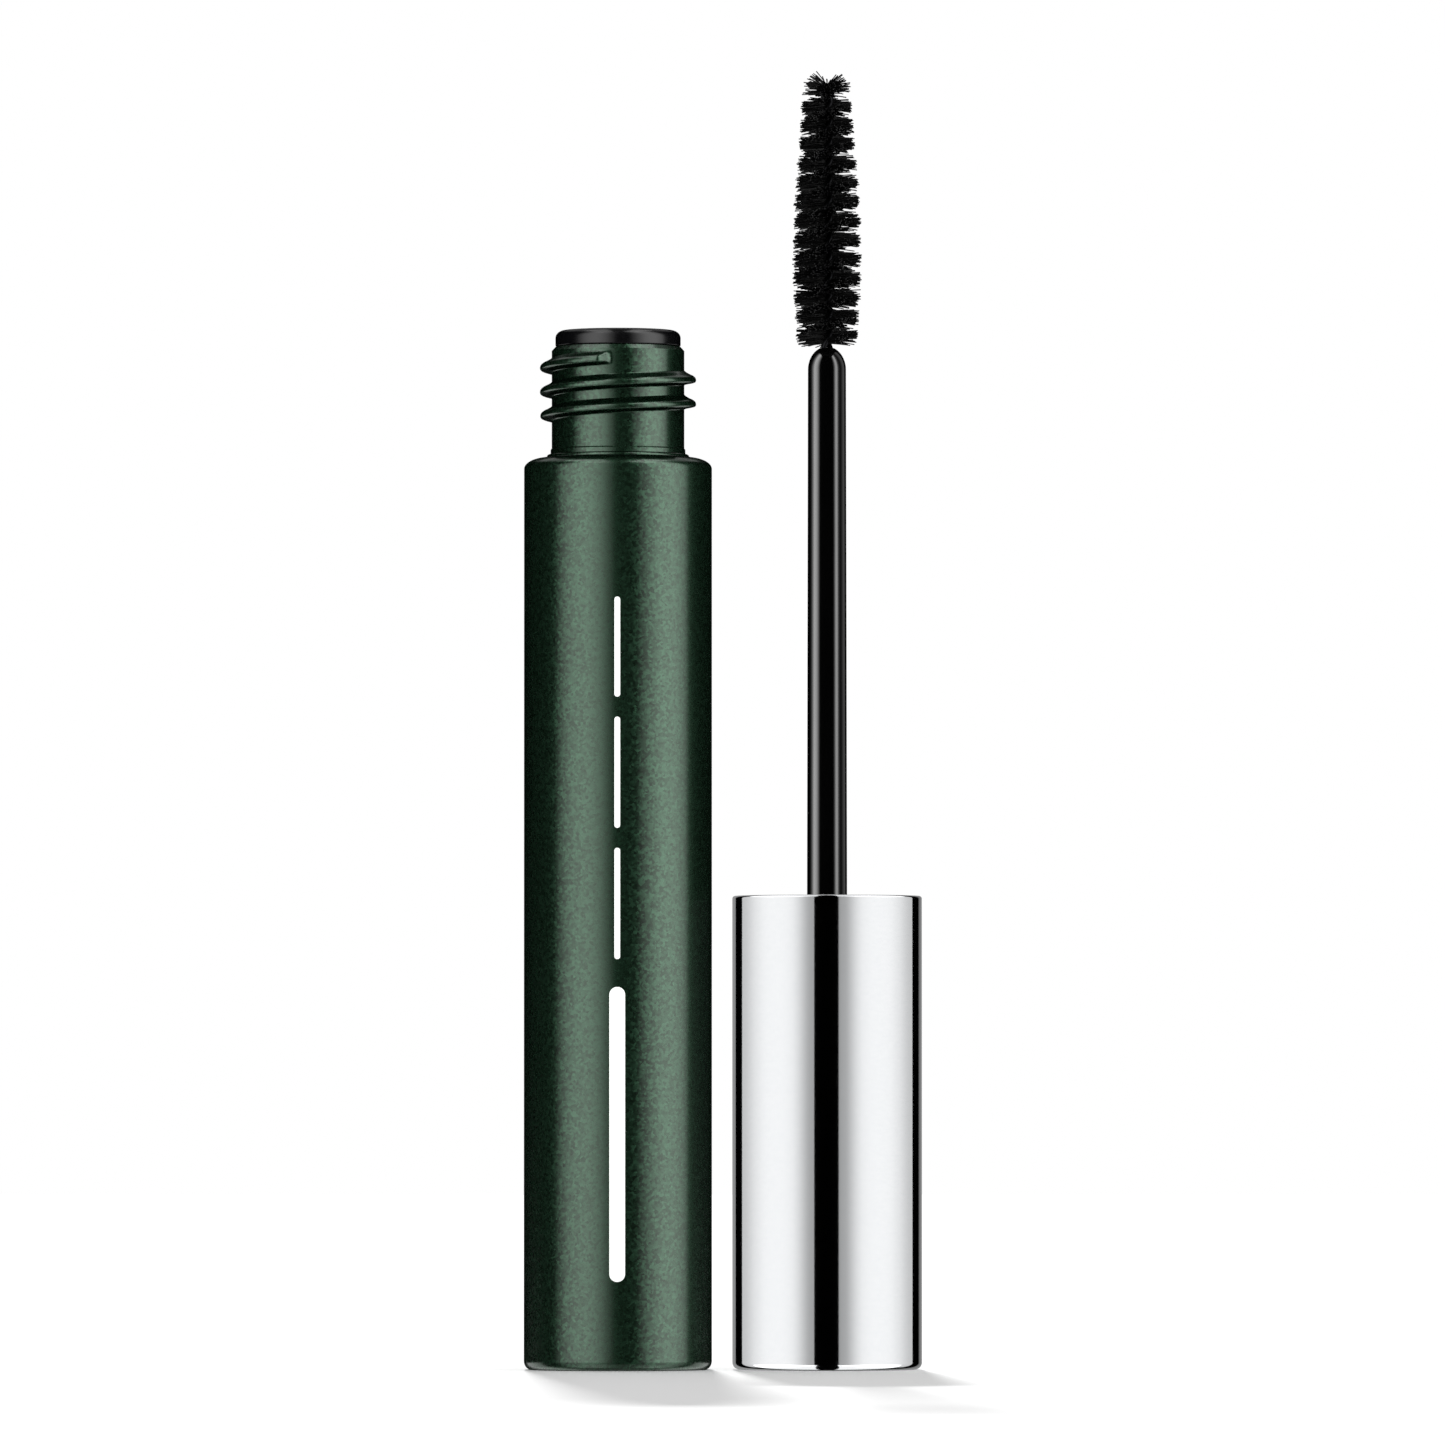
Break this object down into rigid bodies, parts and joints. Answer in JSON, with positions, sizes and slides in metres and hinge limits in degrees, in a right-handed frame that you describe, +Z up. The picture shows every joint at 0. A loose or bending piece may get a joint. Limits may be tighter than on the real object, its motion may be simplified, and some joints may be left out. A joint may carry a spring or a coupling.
{
  "type": "mascara tube",
  "caption": "Round mascara bottle with threaded neck and wiper, and its cap standing beside it with stem and twisted-wire brush upright.",
  "frame": {"origin": "on the standing surface, midway between the bottle's axis and the wand's axis", "axes": "+Z up along both axes, +X from the bottle to the wand, -Y towards the side that faces a viewer"},
  "size_m": [0.036, 0.0172, 0.1173],
  "materials": {
    "lacquered_bottle": "metallic green lacquer with fine flake, satin gloss",
    "wiper_plastic": "soft black moulded polyethylene",
    "paste": "black paste",
    "label_paper": "blank coated paper sticker",
    "bright_aluminium": "mirror-bright silver",
    "liner_plastic": "black moulded polypropylene",
    "seal_foam": "pale foamed polyethylene",
    "stem_plastic": "gloss black",
    "steel_wire": "drawn stainless wire",
    "nylon_bristle": "black nylon filament"
  },
  "bodies": {
    "bottle": {"bottle": "lacquered_bottle", "wiper": "wiper_plastic", "mascara_paste": "paste", "base_label": "label_paper"},
    "seal": {"seal_disc": "seal_foam"},
    "wand": {"cap_overshell": "bright_aluminium", "inner_cap": "liner_plastic", "stem": "stem_plastic", "brush_wire": "steel_wire", "bristles": "nylon_bristle"}
  },
  "joints": [
    {"name": "wand_lift", "type": "slide", "parent": "bottle", "child": "seal", "axis": [0, 0, 1], "range_m": [0, 0.0865]},
    {"name": "cap_turn", "type": "hinge", "parent": "seal", "child": "wand", "pos_m": [0.00946, 0, 0.0311], "axis": [0, 0, 1], "range_deg": [0, 795]}
  ]
}
